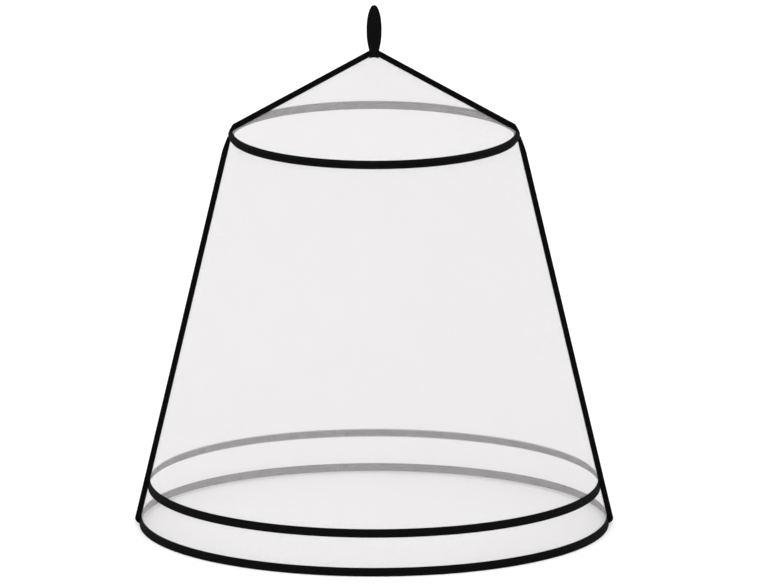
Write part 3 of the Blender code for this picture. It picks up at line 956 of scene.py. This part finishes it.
def makeLoop():
    along = np.linspace(0, loopAlong[-1], int(loopAlong[-1] / loop["step"]))
    along = np.concatenate([along[:1], along, along[-1:]])[:, None]  # the doubled ends close it
    swell = np.ones_like(along)
    swell[[0, -1]] = 0
    across = -np.cos(np.linspace(0, math.pi, loop["columns"]))[None, :]
    outer = strapPoint(along, across, 1, swell)
    inner = strapPoint(along, across, -1, swell)[:, -2:0:-1]
    points = np.concatenate([outer, inner], axis=1)
    width = np.concatenate([across[0], across[0, -2:0:-1], across[0, :1]]) * webbing["halfWidth"]
    coords = np.stack(np.broadcast_arrays(along, width[None, :]), axis=-1)
    mesh = gridMesh("strapLoop", points, coords, wrap=True, flip=True)
    weld(mesh)
    addPiece("strapLoop", mesh, webbingMaterial, ["hanging_loop"])


makeLoop()
print("hanging loop made")

stitch = {"pitch": 0.0045, "length": 0.0034, "thread": 0.0003, "inset": 0.0026}


# Rows of numbers read off at these places along a line, straight between its points.
def pick(places, along, rows):
    return np.stack([np.interp(places, along, rows[:, k]) for k in range(3)], axis=-1)


# Seams as rows of thread: a four-sided spindle of 14 points at each pitch along each line of
# (points, normals).
def makeStitches(name, lines):
    t = np.array([-1, *[-0.8] * 4, *[0.0] * 4, *[0.8] * 4, 1]) * stitch["length"] / 2
    turn = np.tile(np.arange(4) * math.pi / 2, 3)
    bulge = np.repeat([0.7, 1.0, 0.7], 4) * stitch["thread"]
    b = np.concatenate([[0], bulge * np.cos(turn), [0]])
    n = np.concatenate([[0], bulge * np.sin(turn), [0]])
    square = [(1 + i, 1 + (i + 1) % 4, 5 + (i + 1) % 4, 5 + i) for i in range(4)]
    rings = [tuple(4 * k + corner for corner in quad) for k in range(2) for quad in square]
    tips = [(0, 1 + (i + 1) % 4, 1 + i) for i in range(4)] + [(13, 9 + i, 9 + (i + 1) % 4) for i in range(4)]
    allPoints, count = [], 0
    for points, normals in lines:
        along = lengths(points)
        places = np.arange(0.5, along[-1] / stitch["pitch"]) * stitch["pitch"]
        middle, normal = pick(places, along, points), pick(places, along, normals)
        forward = pick(places + 0.0005, along, points) - middle
        forward = forward / np.maximum(np.linalg.norm(forward, axis=1, keepdims=True), 1e-9)
        sideways = np.cross(normal, forward)
        made = middle[:, None] + t[:, None] * forward[:, None] + b[:, None] * sideways[:, None]
        made = made + n[:, None] * normal[:, None]
        allPoints.append(made.reshape(-1, 3))
        count += len(places)
    offsets = np.arange(count)[:, None, None] * 14
    quads = (np.array(rings)[None] + offsets).reshape(-1, 4)
    tris = (np.array(tips)[None] + offsets).reshape(-1, 3)
    mesh = bpy.data.meshes.new(name)
    mesh.from_pydata(np.concatenate(allPoints).tolist(), [], quads.tolist() + tris.tolist())
    return addPiece(name, mesh, threadMaterial)


# A line along a grid of tape, this far from its first edge, raised off one face of it.
# "away" points from the canopy's axis, "round" from the middle of the folded section.
def sewnLine(points, inset, facing="away", wrap=False, raised=None):
    if inset < 0:
        points, inset = points[::-1], -inset
    across = lengths(points[:, points.shape[1] // 2])
    row = float(np.interp(inset, across, np.arange(len(across))))
    low = int(min(row, len(across) - 2))
    blend = row - low
    normal = gridNormals(points)
    middle = points.mean(axis=0) if facing == "round" else points * (0, 0, 1)
    normal = normal * np.sign(np.sum(normal * (points - middle)))
    if facing == "in":
        normal = -normal
    lift = canopy["tapeThickness"] / 2 if raised is None else raised
    line = (1 - blend) * points[low] + blend * points[low + 1]
    up = (1 - blend) * normal[low] + blend * normal[low + 1]
    if wrap:
        line, up = (np.concatenate([part, part[:1]]) for part in (line, up))
    return line + up * (lift + stitch["thread"] * 0.2), up


def strapLine(along, across):
    along, across = np.broadcast_arrays(along, across)
    points = strapPoint(along, across, 1)
    aside = strapPoint(along, across + 0.02, 1) - points
    ahead = strapPoint(along + 0.0005, across, 1) - points
    normal = np.cross(aside, ahead)
    normal = normal / np.linalg.norm(normal, axis=1, keepdims=True)
    return points + normal * 0.0001, normal


inset = stitch["inset"]
seamThreads = {
    "casingStitches": [
        sewnLine(casing[name], edge * inset, facing, True)
        for name, facing in (("casingOuter", "away"), ("casingInner", "round"))
        for edge in (1, -1)
    ],
    "hemStitches": [
        sewnLine(hem[side], edge * inset, "round") for side in ("Front", "Back") for edge in (1, -1)
    ],
    "seamStitches": [
        sewnLine(seams[name], edge * inset, "round")
        for name in [kind + "SeamBinding" + label for kind in ("roof", "wall") for label in ("Right", "Left")]
        for edge in (1, -1)
    ],
}
for side in ("Front", "Back"):
    seamThreads["borderStitches" + side] = [
        sewnLine(border[side], edge * inset, facing, raised=raised)
        for facing, raised in (("away", None), ("in", canopy["tapeLift"]))
        for edge in (1, -1)
    ]
# The strap is sewn with a crossed box up each leg and two rows over each foot, all as distances from
# its own end; the widths are shares of its half width.
strapSewing = {
    "boxStart": 0.019,
    "boxRise": 0.034,  # past the foot
    "boxHalf": 0.82,
    "footRows": (0.004, 0.009),
    "rowHalf": 0.85,
}
t = np.linspace(0, 1, 30)
whole, boxHalf = loopAlong[-1], strapSewing["boxHalf"]
boxStart, boxStop = strapSewing["boxStart"], loop["foot"] + strapSewing["boxRise"]
boxes = []
for start, stop in ((boxStart, boxStop), (whole - boxStart, whole - boxStop)):
    rise = start + (stop - start) * t
    boxes += [strapLine(rise, edge) for edge in (-boxHalf, boxHalf)]
    boxes += [strapLine(end, boxHalf * (2 * t - 1)) for end in (start, stop)]
    boxes += [strapLine(rise, slant * (2 * t - 1)) for slant in (-boxHalf, boxHalf)]
footRows = strapSewing["footRows"]
for foot in (*footRows, *(whole - row for row in footRows)):
    boxes.append(strapLine(foot, strapSewing["rowHalf"] * (2 * t - 1)))
threads = {name: makeStitches(name, lines) for name, lines in seamThreads.items()}
threads["loopStitches"] = makeStitches("loopStitches", boxes)
print("stitched")

studio = {
    "floorGap": 0.0015,  # how far the hem hangs above the floor
    "floorSize": 900.0,
    "floorColour": (0.95, 0.95, 0.95),
    "farPaintedShade": (0.90, 0.90, 0.90),  # painted shade: the floor is a little greyer away from the canopy
    "farFrom": 1.25,
    "farTo": 2.3,
    "sky": 1.25,
    "keyStrength": 0.4,
    "keySoftness": 70,
    "keyTilt": (18, -14),
}


def makeFloor():
    material, tree, shader = newMaterial("paleFloor", {"roughness": 0.95, "specular": 0.0})
    place = addNode(tree, "ShaderNodeTexCoord").outputs["Object"]
    away = vectors(tree, "LENGTH", place, output="Value")
    # Painted shade: the floor's colour greys from farFrom to farTo away from the point under the canopy.
    mix = addNode(tree, "ShaderNodeMix", data_type="RGBA")
    limits = {"Value": away, "From Min": studio["farFrom"], "From Max": studio["farTo"]}
    share = addNode(tree, "ShaderNodeMapRange", limits, interpolation_type="SMOOTHSTEP").outputs[0]
    tree.links.new(share, mix.inputs[0])
    mix.inputs[6].default_value = (*studio["floorColour"], 1)
    mix.inputs[7].default_value = (*studio["farPaintedShade"], 1)
    tree.links.new(mix.outputs[2], shader.inputs["Base Color"])
    size, level = studio["floorSize"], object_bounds()[0].z - studio["floorGap"]
    mesh = bpy.data.meshes.new("floor")
    corners = [(-size, -size, 0), (size, -size, 0), (size, size, 0), (-size, size, 0)]
    mesh.from_pydata(corners, [], [(0, 1, 2, 3)])
    mesh.materials.append(material)
    floor = bpy.data.objects.new("floor", mesh)
    floor.location.z = level
    bpy.context.scene.collection.objects.link(floor)
    floor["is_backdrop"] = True


def makeLight():
    world = bpy.data.worlds.new("studio")
    world.use_nodes = True
    world.node_tree.nodes["Background"].inputs[0].default_value = (1, 1, 1, 1)
    world.node_tree.nodes["Background"].inputs[1].default_value = studio["sky"]
    bpy.context.scene.world = world
    lamp = bpy.data.lights.new("key", "SUN")
    lamp.energy = studio["keyStrength"]
    lamp.angle = math.radians(studio["keySoftness"])
    key = bpy.data.objects.new("key", lamp)
    key.rotation_euler = [math.radians(turn) for turn in (*studio["keyTilt"], 0)]
    bpy.context.scene.collection.objects.link(key)


shot = {
    "elevation": 12.534,
    "distance": 125.04,
    "lens": 1240,  # so long that the view is nearly parallel
    "right": 0.0739,  # where the camera aims, from the middle of the hoop
    "up": -0.7344,
}


def makeCamera():
    rise = math.radians(shot["elevation"])
    back = np.array([0, -math.cos(rise), math.sin(rise)])
    above = np.array([0, math.sin(rise), math.cos(rise)])
    place = np.array([shot["right"], 0, hoopZ]) + above * shot["up"] + back * shot["distance"]
    lens = bpy.data.cameras.new("camera")
    lens.lens, lens.clip_end = shot["lens"], 400
    camera = bpy.data.objects.new("camera", lens)
    camera.location = place
    camera.rotation_euler = (math.pi / 2 - rise, 0, 0)
    bpy.context.scene.collection.objects.link(camera)
    bpy.context.scene.camera = camera


makeFloor()
makeLight()
makeCamera()
bpy.context.scene.view_settings.view_transform = "Standard"
print("floor, light and camera set")

low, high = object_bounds()
